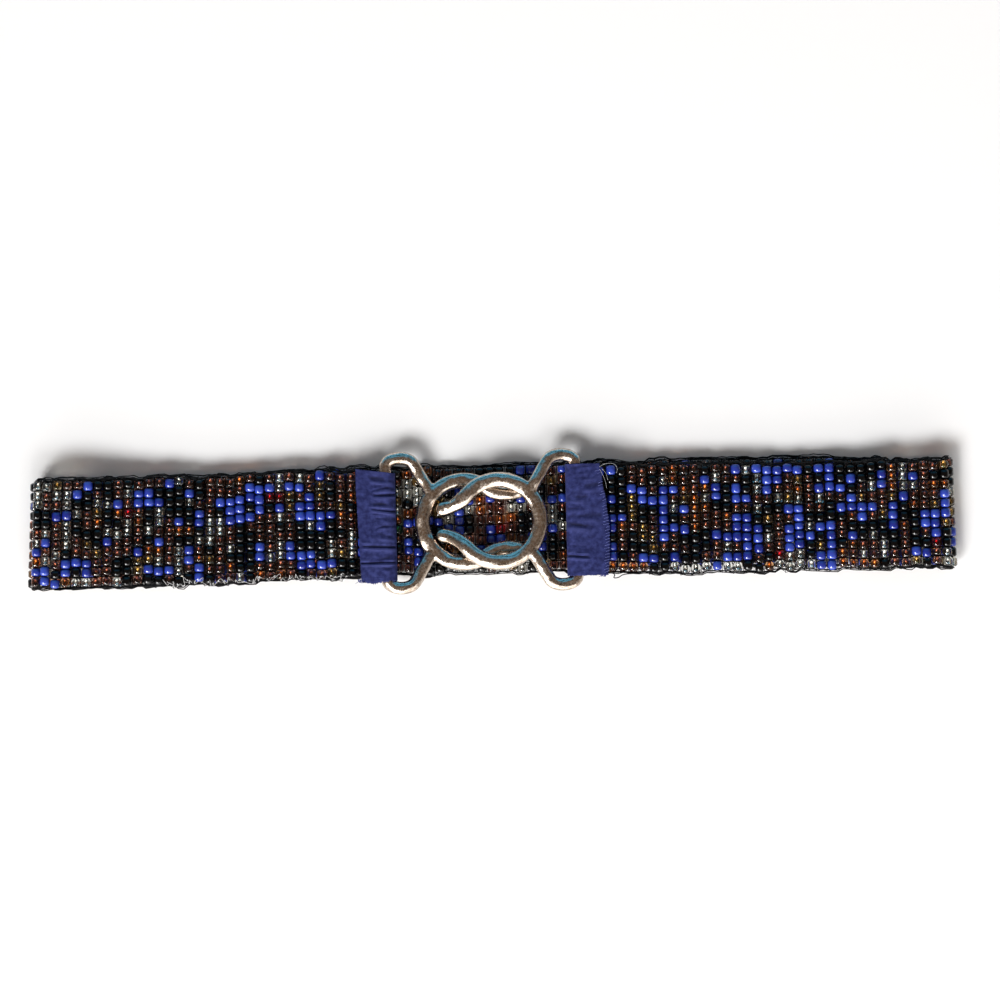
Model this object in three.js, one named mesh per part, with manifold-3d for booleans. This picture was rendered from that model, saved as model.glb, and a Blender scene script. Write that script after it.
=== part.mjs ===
// A beaded belt: a band of seed beads woven on a loom, joined into a waist loop by a cast clasp
// of two interlocking halves. It lies fastened and flattened on a table: the back of the loop
// below, and the two front stretches above it, with the clasp between them.
// Millimetres. +X runs along the belt, +Y across it and +Z up. The table is z = 0, and the
// origin is on it, under the middle of the belt's outline.

import * as THREE from "three";
import Module from "manifold-3d";

const { clamp, degToRad, lerp, smoothstep } = THREE.MathUtils;

// Band: its length is from fold to fold as it lies, and it is one bead thick
const beltLength = 391.2;
const bandWidth = 44.8;
const beadDiameter = 4.1;
const columnPitch = 4.36;
const grooveDepth = 0.7;
const scallopDepth = 0.5;
const crestShare = 0.54;
const layerGap = 0.6;

// How each end lies: the hollow inside its fold, and the length in which the upper layer
// comes down from the fold onto the lower one
const leftEnd = { way: -1, hollow: 6.0, settle: 64 };
const rightEnd = { way: 1, hollow: 3.2, settle: 48 };
const tabRise = 26;

// Tabs: a strip of cloth folded round each bar of the clasp, over and under the band's end
const clothWall = 1.0;
const tabOverhang = 1.0;
const tabOverlap = 8.5;
const barPlay = 0.4;
const bandPlay = 0.3;
const endGap = 1.2;
const gatherHeight = 0.5;

// Clasp: two castings of oval section, each a ring with two horns, two arms, two ears and a bar
const claspCentre = -4.3;
const ringRadius = 17.3;
const ringWidth = 6.6;
const hornWidth = 6.1;
const armWidth = 5.4;
const castHeight = 4.2;
const armAngle = degToRad(42);
const strapSlot = 9.1;
const earPlay = 1.3;
const earReach = 5.9;
const earRise = 3.5;
const claspLift = 0.45;
const crossingGap = 0.35;

// Horns: where they leave the ring, measured from its open side, and the arc that they follow.
// The hook half's horns dip inside the catch half's ring, and stop short of its far side.
const catchHorn = { leave: degToRad(54), radius: 13.9, sweep: degToRad(70) };
const hookHorn = { leave: degToRad(40), radius: 15.5, sweep: degToRad(55) };
const tipLift = 0.55;
const tipClearance = 2.3;

// Fineness of the curves
const bandSample = 2;
const foldSteps = 8;
const ringStep = 2.7;
const castSides = 12;
const tabSteps = 12;

// How the band strays from a straight strip, from the left fold, -1, to the right fold, 1: how
// far each layer lies across from the clasp's middle line, as shares of the band's width, and
// how far its columns lean over, as a slope, with their lower ends in place
const sway = [
  { at: -1.0, back: -0.03, front: -0.03, lean: 0.05 },
  { at: -0.9, back: -0.03, front: -0.03, lean: 0.045 },
  { at: -0.62, back: -0.026, front: -0.026, lean: 0.03 },
  { at: -0.4, back: 0.004, front: 0.0, lean: 0.0 },
  { at: -0.25, back: 0.01, front: -0.004, lean: 0.0 },
  { at: 0.2, back: 0.018, front: -0.005, lean: 0.0 },
  { at: 0.45, back: 0.032, front: -0.024, lean: 0.0 },
  { at: 0.68, back: 0.016, front: -0.036, lean: -0.01 },
  { at: 0.93, back: -0.03, front: -0.03, lean: -0.02 },
  { at: 1.0, back: -0.03, front: -0.03, lean: -0.02 },
];

// The cloth of each tab, from its lower edge, -1, to its upper edge, 1: how high the upper leaf
// is gathered, as a share of gatherHeight, and its free edge's reach, as a share of tabReach
const leftGathers = [
  { at: -1.0, rise: 0.0, reach: 0.89 },
  { at: -0.82, rise: 0.9, reach: 0.9 },
  { at: -0.6, rise: 0.1, reach: 0.91 },
  { at: -0.3, rise: 0.7, reach: 0.93 },
  { at: 0.0, rise: 0.2, reach: 0.96 },
  { at: 0.35, rise: 0.8, reach: 0.98 },
  { at: 0.7, rise: 0.1, reach: 1.0 },
  { at: 1.0, rise: 0.3, reach: 1.0 },
];
const rightGathers = [
  { at: -1.0, rise: 0.2, reach: 1.04 },
  { at: -0.72, rise: 1.0, reach: 1.1 },
  { at: -0.5, rise: 0.1, reach: 1.12 },
  { at: -0.15, rise: 0.5, reach: 1.12 },
  { at: 0.3, rise: 0.2, reach: 1.04 },
  { at: 0.65, rise: 0.6, reach: 0.92 },
  { at: 1.0, rise: 0.1, reach: 0.84 },
];

// Sizes that follow from those above
const halfLength = beltLength / 2;
const halfBead = beadDiameter / 2;
const lyingLevel = beadDiameter + layerGap + halfBead;
const tabWidth = bandWidth + 2 * tabOverhang;
const tabReach = armWidth / 2 + endGap + tabOverlap;
const earHeight = tabWidth / 2 + earPlay + armWidth / 2;
const ringEdge = ringRadius + ringWidth / 2;
const barReach = ringEdge + strapSlot + armWidth / 2;
const tipReach =
  (ringRadius + hookHorn.radius) * Math.cos(hookHorn.leave) -
  hookHorn.radius * Math.cos(hookHorn.leave + hookHorn.sweep);
const ringSpacing = tipReach + tipClearance - (ringRadius - ringWidth / 2);
const pocketWidth = armWidth / 2 + barPlay;
const pocketHeight = castHeight / 2 + barPlay;
const leafHeight = halfBead + bandPlay;
const tabLevel = beadDiameter + claspLift + clothWall + Math.max(pocketHeight, leafHeight);
const catchLevel = beadDiameter + claspLift + castHeight / 2;
const hookLevel = catchLevel + castHeight + crossingGap;
const tipDip = hookLevel - catchLevel - tipLift;

// Distance of an end's bar from the belt's middle, out towards that end's fold
const barOut = (end) => end.way * claspCentre + ringSpacing / 2 + barReach;

// Reads one column of a table at a place between its rows
function readTable(rows, column, at) {
  const above = rows.findIndex((row) => row.at >= at);
  const next = above < 0 ? rows.length - 1 : Math.max(above, 1);
  const [low, high] = [rows[next - 1], rows[next]];
  const share = clamp((at - low.at) / (high.at - low.at), 0, 1);
  return lerp(low[column], high[column], smoothstep(share, 0, 1));
}

// A closed solid through sections that have the same number of corners, each listed
// anticlockwise about the way that the solid runs
function loft(sections) {
  const corners = sections[0].length;
  const index = [];
  for (let row = 0; row < sections.length - 1; row++) {
    for (let k = 0; k < corners; k++) {
      const a = row * corners + k;
      const b = row * corners + ((k + 1) % corners);
      index.push(a, b, b + corners, a, b + corners, a + corners);
    }
  }
  const last = (sections.length - 1) * corners;
  for (let k = 1; k < corners - 1; k++) {
    index.push(0, k + 1, k);
    index.push(last, last + k, last + k + 1);
  }
  const solid = new THREE.BufferGeometry().setFromPoints(sections.flat());
  solid.setIndex(index);
  return solid;
}

// The band

const foldRadius = (end) => (end.hollow + beadDiameter) / 2;
const foldCentre = (end) => halfLength - halfBead - foldRadius(end);
const bandStart = (end) => barOut(end) + armWidth / 2 + endGap;

// Height of the upper layer's middle at a distance out from the belt's middle
function frontLevel(end, out) {
  const tabEdge = barOut(end) + tabReach;
  if (out < tabEdge + tabRise) {
    return lerp(tabLevel, lyingLevel, smoothstep(out, tabEdge, tabEdge + tabRise));
  }
  const foldTop = halfBead + 2 * foldRadius(end);
  const fold = foldCentre(end);
  return lerp(lyingLevel, foldTop, smoothstep(out, fold - end.settle, fold));
}

// Side view of half a fold's turn, between two angles measured from the fold's end
function foldQuarter(end, from, to) {
  const radius = foldRadius(end);
  return Array.from({ length: foldSteps + 1 }, (_, step) => {
    const angle = lerp(from, to, step / foldSteps);
    const out = foldCentre(end) + radius * Math.cos(angle);
    return new THREE.Vector2(end.way * out, halfBead + radius + radius * Math.sin(angle));
  });
}

// Side view of a front stretch, from the band's end in the tab out to the fold's end
function frontPoints(end) {
  const start = bandStart(end);
  const fold = foldCentre(end);
  const count = Math.ceil((fold - start) / bandSample);
  const level = Array.from({ length: count }, (_, step) => {
    const out = lerp(start, fold, step / count);
    return new THREE.Vector2(end.way * out, frontLevel(end, out));
  });
  return [...level, ...foldQuarter(end, Math.PI / 2, 0)];
}

// Side view of the back stretch, from the left fold's end to the right one's
function backPoints() {
  const [from, to] = [-foldCentre(leftEnd), foldCentre(rightEnd)];
  const count = Math.ceil((to - from) / bandSample);
  const flat = Array.from({ length: count - 1 }, (_, step) => {
    return new THREE.Vector2(lerp(from, to, (step + 1) / count), halfBead);
  });
  const down = foldQuarter(leftEnd, 0, -Math.PI / 2);
  const up = foldQuarter(rightEnd, -Math.PI / 2, 0);
  return [...down, ...flat, ...up];
}

// Places along a stretch, as shares of it, where the band's section changes: each groove
// between two columns of beads, and both edges of each column's crest
function columnPlaces(halfColumns, startsInGroove) {
  const places = [];
  for (let half = 0; half < halfColumns; half++) {
    const rises = (half % 2 === 0) === startsInGroove;
    if (rises) places.push({ at: half / halfColumns, groove: true });
    const crest = rises ? 1 - crestShare : crestShare;
    places.push({ at: (half + crest) / halfColumns, groove: false });
  }
  return places;
}

// The band's section at one place of a stretch whose side view is the line given
function bandSection(line, layer, { at, groove }) {
  const centre = line.getPointAt(at);
  const ahead = line.getTangentAt(at);
  const across = bandWidth * readTable(sway, layer, centre.x / halfLength);
  const lean = readTable(sway, "lean", centre.x / halfLength);
  const wide = bandWidth / 2 - (groove ? scallopDepth : 0);
  const thick = halfBead - (groove ? grooveDepth : 0);
  const corner = (y, out) => {
    const x = centre.x - out * ahead.y + lean * (y + bandWidth / 2);
    return new THREE.Vector3(x, across + y, centre.y + out * ahead.x);
  };
  return [corner(-wide, -thick), corner(wide, -thick), corner(wide, thick), corner(-wide, thick)];
}

// The sections of one stretch. A stretch that starts or ends at a fold's end does so on the
// middle of a column of beads, so it holds a whole number of half columns.
function stretchSections(points, layer, startsInGroove, endsInGroove) {
  const line = new THREE.SplineCurve(points);
  line.arcLengthDivisions = points.length * 8;
  const columns = line.getLength() / columnPitch;
  const wholeColumns = startsInGroove === endsInGroove;
  const halfColumns = wholeColumns ? 2 * Math.round(columns) : 2 * Math.round(columns - 0.5) + 1;
  const places = columnPlaces(halfColumns, startsInGroove);
  if (endsInGroove) places.push({ at: 1, groove: true });
  return places.map((place) => bandSection(line, layer, place));
}

// The whole band, from its end in the left tab round both folds to its end in the right tab
function beadedBand() {
  return loft([
    ...stretchSections(frontPoints(leftEnd), "front", true, false),
    ...stretchSections(backPoints(), "back", false, false),
    ...stretchSections(frontPoints(rightEnd).reverse(), "front", false, true),
  ]);
}

// The clasp. A half is made about its ring's centre, with its bar towards +x.

// The sections of a cast rod of oval section, through places that give its middle, its width
// and a scale that rounds its ends
function rodSections(places) {
  const up = new THREE.Vector3(0, 0, 1);
  return places.map((place, i) => {
    const before = places[Math.max(i - 1, 0)].middle;
    const after = places[Math.min(i + 1, places.length - 1)].middle;
    const ahead = after.clone().sub(before).normalize();
    const side = up.clone().cross(ahead).normalize();
    const top = ahead.clone().cross(side);
    return Array.from({ length: castSides }, (_, k) => {
      const angle = (2 * Math.PI * (k + 0.5)) / castSides;
      return place.middle
        .clone()
        .addScaledVector(side, (place.scale * place.width * Math.cos(angle)) / 2)
        .addScaledVector(top, (place.scale * castHeight * Math.sin(angle)) / 2);
    });
  });
}

// Mirrors places over the clasp's middle line, so that they run from the upper end through
// their first place to the lower end
function bothSides(places) {
  const mirrored = places.slice(1).map((place) => {
    const { x, y, z } = place.middle;
    return { ...place, middle: new THREE.Vector3(x, -y, z) };
  });
  return [...places.toReversed(), ...mirrored];
}

// The upper half of the ring and its horn, from the bar side out to the horn's rounded tip
function ringPlaces(horn, dip) {
  const leave = Math.PI - horn.leave;
  const reach = ringRadius + horn.radius;
  const [x, y] = [reach * Math.cos(leave), reach * Math.sin(leave)];
  const [from, to] = [-horn.leave, -horn.leave - horn.sweep];
  const ring = new THREE.EllipseCurve(0, 0, ringRadius, ringRadius, 0, leave, false);
  const curl = new THREE.EllipseCurve(x, y, horn.radius, horn.radius, from, to, true);

  const ringCount = Math.round(ring.getLength() / ringStep);
  const places = ring.getSpacedPoints(ringCount).map((at) => ({ at, share: 0, scale: 1 }));
  const tipShare = hornWidth / 2 / curl.getLength();
  const curlCount = Math.max(Math.round(curl.getLength() / ringStep) - 1, 1);
  for (let step = 1; step <= curlCount; step++) {
    const share = ((1 - tipShare) * step) / curlCount;
    places.push({ at: curl.getPointAt(share), share, scale: 1 });
  }
  for (const angle of [degToRad(32), degToRad(56), degToRad(76)]) {
    const share = 1 - tipShare + tipShare * Math.sin(angle);
    places.push({ at: curl.getPointAt(share), share, scale: Math.cos(angle) });
  }
  return places.map(({ at, share, scale }) => ({
    middle: new THREE.Vector3(at.x, at.y, -dip * smoothstep(share, 0, 0.85)),
    width: lerp(ringWidth, hornWidth, smoothstep(share, 0, 0.5)),
    scale,
  }));
}

// The upper half of the bar, its ear and the arm down to the ring. The arm leaves the ring at
// armAngle and touches the ear's bend, and it drops from the ring's level to the bar's.
function armPlaces(drop) {
  const ear = { x: barReach - earReach, y: earHeight - earRise };
  const foot = new THREE.Vector2(ringRadius * Math.cos(armAngle), ringRadius * Math.sin(armAngle));
  const seen = new THREE.Vector2((foot.x - ear.x) / earReach, (foot.y - ear.y) / earRise);
  const touch = seen.angle() - Math.acos(1 / seen.length());
  const bend = new THREE.EllipseCurve(ear.x, ear.y, earReach, earRise, 0, touch, false);
  const bar = new THREE.LineCurve(new THREE.Vector2(barReach, 0), bend.getPoint(0));
  const arm = new THREE.LineCurve(bend.getPoint(1), foot);
  const points = [...bar.getPoints(2), ...bend.getPoints(9).slice(1), ...arm.getPoints(4).slice(1)];
  return points.map(({ x, y }) => {
    const share = smoothstep(x, ringEdge * Math.cos(armAngle), barReach - earReach / 2);
    return { middle: new THREE.Vector3(x, y, -drop * share), width: armWidth, scale: 1 };
  });
}

const wasm = await Module();
wasm.setup();

function asManifold(solid) {
  const vertProperties = Float32Array.from(solid.getAttribute("position").array);
  const triVerts = Uint32Array.from(solid.getIndex().array);
  return new wasm.Manifold(new wasm.Mesh({ numProp: 3, vertProperties, triVerts }));
}

function asGeometry(manifold) {
  const { vertProperties, triVerts } = manifold.getMesh();
  const solid = new THREE.BufferGeometry();
  solid.setAttribute("position", new THREE.BufferAttribute(vertProperties, 3));
  solid.setIndex(new THREE.BufferAttribute(triVerts, 1));
  return solid;
}

// One half of the clasp, cast in one piece
function claspHalf(horn, level, dip) {
  const rods = [ringPlaces(horn, dip), armPlaces(level - tabLevel)];
  const [ring, arms] = rods.map((places) => asManifold(loft(rodSections(bothSides(places)))));
  return asGeometry(ring.add(arms));
}

// The tabs. A tab is made about its bar's middle, with its free edges towards +x.

function tabProfile() {
  const [wide, high] = [pocketWidth + clothWall, pocketHeight + clothWall];
  const profile = new THREE.Shape();
  profile.moveTo(tabReach, leafHeight + clothWall);
  profile.lineTo(0, high);
  profile.absellipse(0, 0, wide, high, Math.PI / 2, (3 * Math.PI) / 2, false);
  profile.lineTo(tabReach, -leafHeight - clothWall);
  profile.lineTo(tabReach, -leafHeight);
  profile.lineTo(0, -pocketHeight);
  profile.absellipse(0, 0, pocketWidth, pocketHeight, (3 * Math.PI) / 2, Math.PI / 2, true);
  profile.lineTo(tabReach, leafHeight);
  return profile;
}

// A tab whose upper leaf is gathered in low folds along the belt. The gathers go from its
// lower edge as it lies, which is at +y on a tab that is turned to the left.
function clothTab(end, gathers) {
  const options = { depth: tabWidth, steps: tabSteps, curveSegments: 7, bevelEnabled: false };
  const cloth = new THREE.ExtrudeGeometry(tabProfile(), options);
  cloth.rotateX(Math.PI / 2).translate(0, tabWidth / 2, 0);
  const corners = cloth.getAttribute("position");
  for (let i = 0; i < corners.count; i++) {
    const [x, y, z] = [corners.getX(i), corners.getY(i), corners.getZ(i)];
    const at = (end.way * 2 * y) / tabWidth;
    const reach = x > 0 ? readTable(gathers, "reach", at) : 1;
    const rise = gatherHeight * readTable(gathers, "rise", at) * clamp(z / leafHeight, 0, 1);
    corners.setXYZ(i, x * reach, y, z + rise);
  }
  return cloth;
}

// The belt put together

const beadMix = new THREE.MeshStandardMaterial({ color: "#34345a", roughness: 0.25 });
const castMetal = () =>
  new THREE.MeshStandardMaterial({ color: "#a39a90", metalness: 1, roughness: 0.28 });
const blueCloth = () => new THREE.MeshStandardMaterial({ color: "#39427f", roughness: 0.9 });

function piece(name, geometry, material) {
  const mesh = new THREE.Mesh(geometry, material);
  mesh.name = name;
  return mesh;
}

const band = piece("beaded_band", beadedBand(), beadMix);

const catchHalf = piece("clasp_catch_half", claspHalf(catchHorn, catchLevel, 0), castMetal());
catchHalf.position.set(-ringSpacing / 2, 0, catchLevel);
catchHalf.rotation.z = Math.PI;

const hookHalf = piece("clasp_hook_half", claspHalf(hookHorn, hookLevel, tipDip), castMetal());
hookHalf.position.set(ringSpacing / 2, 0, hookLevel);

const clasp = new THREE.Group();
clasp.position.x = claspCentre;
clasp.add(catchHalf, hookHalf);

function placedTab(name, end, gathers) {
  const tab = piece(name, clothTab(end, gathers), blueCloth());
  const x = end.way * barOut(end);
  tab.position.set(x, bandWidth * readTable(sway, "front", x / halfLength), tabLevel);
  tab.rotation.z = end.way < 0 ? Math.PI : 0;
  return tab;
}

const belt = new THREE.Group();
belt.add(band, clasp);
belt.add(placedTab("tab_left", leftEnd, leftGathers));
belt.add(placedTab("tab_right", rightEnd, rightGathers));

export default belt;
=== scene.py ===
"""A beaded belt, fastened and laid flattened on a table, seen from above.

Seed beads woven on a loom make one band. Its ends are held in blue cloth tabs, which are folded
round the bars of a cast clasp of two interlocking halves. Lengths are in metres.
"""

import math

import bmesh
import bpy
import numpy as np
from mathutils import Matrix, Vector


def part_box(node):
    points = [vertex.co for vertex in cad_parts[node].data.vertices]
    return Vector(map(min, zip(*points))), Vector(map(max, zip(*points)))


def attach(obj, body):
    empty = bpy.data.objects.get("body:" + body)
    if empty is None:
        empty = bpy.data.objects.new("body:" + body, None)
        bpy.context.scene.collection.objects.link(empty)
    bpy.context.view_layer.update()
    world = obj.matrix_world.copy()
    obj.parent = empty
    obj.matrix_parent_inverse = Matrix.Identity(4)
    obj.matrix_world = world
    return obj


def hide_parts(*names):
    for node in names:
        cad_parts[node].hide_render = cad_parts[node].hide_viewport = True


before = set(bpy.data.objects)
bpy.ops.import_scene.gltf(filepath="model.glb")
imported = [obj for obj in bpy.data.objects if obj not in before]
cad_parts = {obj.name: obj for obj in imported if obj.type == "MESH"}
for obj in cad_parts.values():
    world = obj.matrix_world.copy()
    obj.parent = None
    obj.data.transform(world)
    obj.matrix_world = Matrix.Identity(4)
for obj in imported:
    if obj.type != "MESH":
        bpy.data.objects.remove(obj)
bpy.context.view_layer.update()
scene = bpy.context.scene
MM = 0.001

# Camera
# The belt is seen from straight above and from far off, so that both layers line up.
# The picture is turned by a little over a degree.
VIEW_WIDTH = 420 * MM
VIEW_MIDDLE = (3.8 * MM, 8.7 * MM)
VIEW_LEVEL = 8 * MM
VIEW_TURN = math.radians(-1.4)
CAMERA_DISTANCE = 1500 * MM

camera_data = bpy.data.cameras.new("camera")
camera_data.lens = camera_data.sensor_width * CAMERA_DISTANCE / VIEW_WIDTH
camera = bpy.data.objects.new("camera", camera_data)
camera.location = (*VIEW_MIDDLE, VIEW_LEVEL + CAMERA_DISTANCE)
camera.rotation_euler = (0, 0, VIEW_TURN)
scene.collection.objects.link(camera)
scene.camera = camera

# Seed beads
# The band is rows of 6/0 glass seed beads, pressed from drawn glass tube, whose holes run across
# the belt. Each column of eleven is held by the threads through it and by those on both sides.
BAND_WIDTH = 44.8 * MM
HALF_LENGTH = 195.6 * MM
BEAD_DIAMETER = 4.1 * MM
BEAD_LENGTH = 3.62 * MM
BEAD_HOLE = 1.3 * MM
BEAD_ROUND = 0.62 * MM
BEAD_SIDES = 10
BEADS_ACROSS = 11
ROW_GAP = 0.42 * MM
COLUMN_PITCH = 4.36 * MM
LAYER_GAP = 0.6 * MM
TAB_RISE = 26 * MM
LINE_STEPS = 400
TURN_STEPS = 40

# The tabs and the clasp's arms, whose sizes place the band's ends
ARM_WIDTH = 5.4 * MM
CAST_HEIGHT = 4.2 * MM
CLOTH_SPACE = 1.0 * MM
BAR_PLAY = 0.4 * MM
END_GAP = 1.2 * MM
TAB_REACH = 12.4 * MM

POCKET_WIDTH = ARM_WIDTH / 2 + BAR_PLAY + CLOTH_SPACE
POCKET_HEIGHT = CAST_HEIGHT / 2 + BAR_PLAY + CLOTH_SPACE
TAB_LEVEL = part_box("tab_left")[0].z + POCKET_HEIGHT
LYING_LEVEL = 1.5 * BEAD_DIAMETER + LAYER_GAP

ENDS = {
    "left": {
        "way": -1,
        "hollow": 6.0 * MM,
        "settle": 64 * MM,
        "bar": POCKET_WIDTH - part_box("tab_left")[1].x,
    },
    "right": {
        "way": 1,
        "hollow": 3.2 * MM,
        "settle": 48 * MM,
        "bar": POCKET_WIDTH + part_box("tab_right")[0].x,
    },
}

# How the band strays from a straight strip, from the left fold, -1, to the right fold, 1: each
# layer's place across the belt, as shares of its width, and the slope of its columns
SWAY = {
    "at": [-1.0, -0.9, -0.62, -0.4, -0.25, 0.2, 0.45, 0.68, 0.93, 1.0],
    "back": [-0.03, -0.03, -0.026, 0.004, 0.01, 0.018, 0.032, 0.016, -0.03, -0.03],
    "front": [-0.03, -0.03, -0.026, 0.0, -0.004, -0.005, -0.024, -0.036, -0.03, -0.03],
    "lean": [0.05, 0.045, 0.03, 0.0, 0.0, 0.0, 0.0, -0.01, -0.02, -0.02],
}


def ease(value, low, high):
    """Goes smoothly from 0 at low to 1 at high."""
    share = np.clip((value - low) / (high - low), 0, 1)
    return share * share * (3 - 2 * share)


def read_table(table, row, at):
    """One row of a table at a place between its columns."""
    after = min(max(np.searchsorted(table["at"], at), 1), len(table["at"]) - 1)
    share = float(ease(at, *table["at"][after - 1 : after + 1]))
    low, high = table[row][after - 1 : after + 1]
    return low * (1 - share) + high * share


def upper_level(end, out):
    """Height of the upper layer's middle at distances out from the belt's middle."""
    radius = (end["hollow"] + BEAD_DIAMETER) / 2
    fold = HALF_LENGTH - BEAD_DIAMETER / 2 - radius
    tab_edge = end["bar"] + TAB_REACH
    near = TAB_LEVEL + (LYING_LEVEL - TAB_LEVEL) * ease(out, tab_edge, tab_edge + TAB_RISE)
    top = BEAD_DIAMETER / 2 + 2 * radius
    far = LYING_LEVEL + (top - LYING_LEVEL) * ease(out, fold - end["settle"], fold)
    return np.where(out < tab_edge + TAB_RISE, near, far)


def fold_quarter(end, start, stop):
    """Side view of half of a fold's turn, between two angles in degrees."""
    radius = (end["hollow"] + BEAD_DIAMETER) / 2
    fold = HALF_LENGTH - BEAD_DIAMETER / 2 - radius
    angles = np.radians(np.linspace(start, stop, TURN_STEPS))
    x = end["way"] * (fold + radius * np.cos(angles))
    return np.column_stack([x, BEAD_DIAMETER / 2 + radius + radius * np.sin(angles)])


def front_line(end):
    """Side view of a front stretch, from the band's end in the tab to the fold's end."""
    fold = HALF_LENGTH - BEAD_DIAMETER - end["hollow"] / 2
    start = end["bar"] + ARM_WIDTH / 2 + END_GAP
    out = np.linspace(start, fold, LINE_STEPS, endpoint=False)
    level = np.column_stack([end["way"] * out, upper_level(end, out)])
    return np.vstack([level, fold_quarter(end, 90, 0)])


def back_line():
    """Side view of the back stretch, from the left fold's end to the right one's."""
    down = fold_quarter(ENDS["left"], 0, -90)
    up = fold_quarter(ENDS["right"], -90, 0)
    return np.vstack([down, up])


def lengths_along(line):
    steps = np.linalg.norm(np.diff(line, axis=0), axis=1)
    return np.concatenate([[0], np.cumsum(steps)])


def columns_on(line, layer, first, last, halves):
    """Columns at every second half pitch along a stretch, as place, heading and layer."""
    length = lengths_along(line)
    found = []
    for half in range(first, last + 1, 2):
        at = length[-1] * half / halves
        x, z = (np.interp(at, length, side) for side in line.T)
        back, ahead = at - COLUMN_PITCH / 8, at + COLUMN_PITCH / 8
        run = [np.interp(ahead, length, s) - np.interp(back, length, s) for s in line.T]
        heading = np.array(run) / np.hypot(*run)
        found.append({"x": x, "z": z, "heading": heading, "layer": layer})
    return found


def all_columns():
    """The band's columns in order, from its end in the left tab to its end in the right tab."""
    left, back, right = front_line(ENDS["left"]), back_line(), front_line(ENDS["right"])[::-1]
    pitches = [lengths_along(line)[-1] / COLUMN_PITCH for line in (left, back, right)]
    left_halves = 2 * round(pitches[0] - 0.5) + 1
    back_halves = 2 * round(pitches[1])
    right_halves = 2 * round(pitches[2] - 0.5) + 1
    return [
        *columns_on(left, "front", 1, left_halves, left_halves),
        *columns_on(back, "back", 2, back_halves - 2, back_halves),
        *columns_on(right, "front", 0, right_halves - 1, right_halves),
    ]


def on_band(column, y, inward):
    """A point of the band: y across it from its middle, and inward off its middle surface."""
    at = column["x"] / HALF_LENGTH
    across = BAND_WIDTH * read_table(SWAY, column["layer"], at)
    lean = read_table(SWAY, "lean", at)
    along, up = column["heading"]
    x = column["x"] - inward * up + lean * (y + BAND_WIDTH / 2)
    return np.array([x, across + y, column["z"] + inward * along])


# A column's beads differ a little in length, and push their neighbours along. The column itself
# strays a little across the belt and along it.
LENGTH_SPREAD = 0.27 * MM
LENGTH_LIMITS = (3.0 * MM, 4.2 * MM)
STRAY_ACROSS = 0.2 * MM
STRAY_ALONG = 0.1 * MM

rng = np.random.default_rng(11)
COLUMNS = all_columns()
for column in COLUMNS:
    lengths = np.clip(rng.normal(BEAD_LENGTH, LENGTH_SPREAD, BEADS_ACROSS), *LENGTH_LIMITS)
    tops = np.cumsum(lengths + ROW_GAP) - ROW_GAP
    middle = tops[-1] / 2 + rng.normal(0, STRAY_ACROSS)
    column["lengths"] = lengths
    column["beads"] = tops - lengths / 2 - middle
    column["gaps"] = np.concatenate([[0], tops + ROW_GAP / 2]) - middle
    column["gaps"][0] -= ROW_GAP / 2
    column["shift"] = rng.normal(0, STRAY_ALONG)

# The mix of glass: the share of each colour, how often a bead of it is followed by another, and
# how often that next one lies in the same column instead of the same row
MIX = {
    "garnet": {"share": 0.25, "again": 0.0, "down": 1.0},
    "amber": {"share": 0.14, "again": 0.5, "down": 0.8},
    "gold": {"share": 0.13, "again": 0.5, "down": 0.8},
    "crystal": {"share": 0.27, "again": 0.5, "down": 0.8},
    "black": {"share": 0.34, "again": 0.62, "down": 0.5},
    "red": {"share": 0.004, "again": 0.0, "down": 1.0},
    "green": {"share": 0.002, "again": 0.0, "down": 1.0},
    "blue": {"share": 0.22, "again": 0.55, "down": 0.5},
}
# How common blue is at the left end, as a share of how common it is at the right
LEFT_BLUE = 0.35

# The lowest row of the right front stretch hangs over the table, and is strung in plain runs,
# from the tab outwards
EDGE_RUNS = [
    ("amber", 6),
    ("black", 2),
    ("crystal", 4),
    ("blue", 1),
    ("crystal", 2),
    ("black", 2),
    ("amber", 1),
    ("crystal", 4),
    ("blue", 2),
    ("amber", 4),
    ("black", 1),
]


def paint_mix():
    """A chart of the random mix. Each run wanders on from its first bead to the next."""
    names = list(MIX)
    columns, rows = len(COLUMNS), BEADS_ACROSS
    chart = np.full((columns, rows), names[0], dtype=object)
    for name in names[1:]:
        kind = MIX[name]
        while np.mean(chart == name) < kind["share"]:
            c, r = rng.integers(columns), rng.integers(rows)
            if name == "blue" and rng.random() > LEFT_BLUE + (1 - LEFT_BLUE) * c / columns:
                continue
            chart[c, r] = name
            while rng.random() < kind["again"]:
                step = rng.choice([-1, 1])
                if rng.random() < kind["down"]:
                    r = int(np.clip(r + step, 0, rows - 1))
                else:
                    c = int(np.clip(c + step, 0, columns - 1))
                chart[c, r] = name
    place = columns
    for name, beads_in_run in EDGE_RUNS:
        place -= beads_in_run
        chart[place : place + beads_in_run, 0] = name
    return chart


def add(tree, kind, inputs=None, **settings):
    """Adds a node with its settings. An input is a value, an output, or a node, which stands
    for its first output."""
    node = tree.nodes.new(kind)
    for name, value in settings.items():
        setattr(node, name, value)
    for key, value in (inputs or {}).items():
        if isinstance(value, bpy.types.Node):
            value = value.outputs[0]
        if isinstance(value, bpy.types.NodeSocket):
            tree.links.new(value, node.inputs[key])
        else:
            node.inputs[key].default_value = value
    return node


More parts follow.
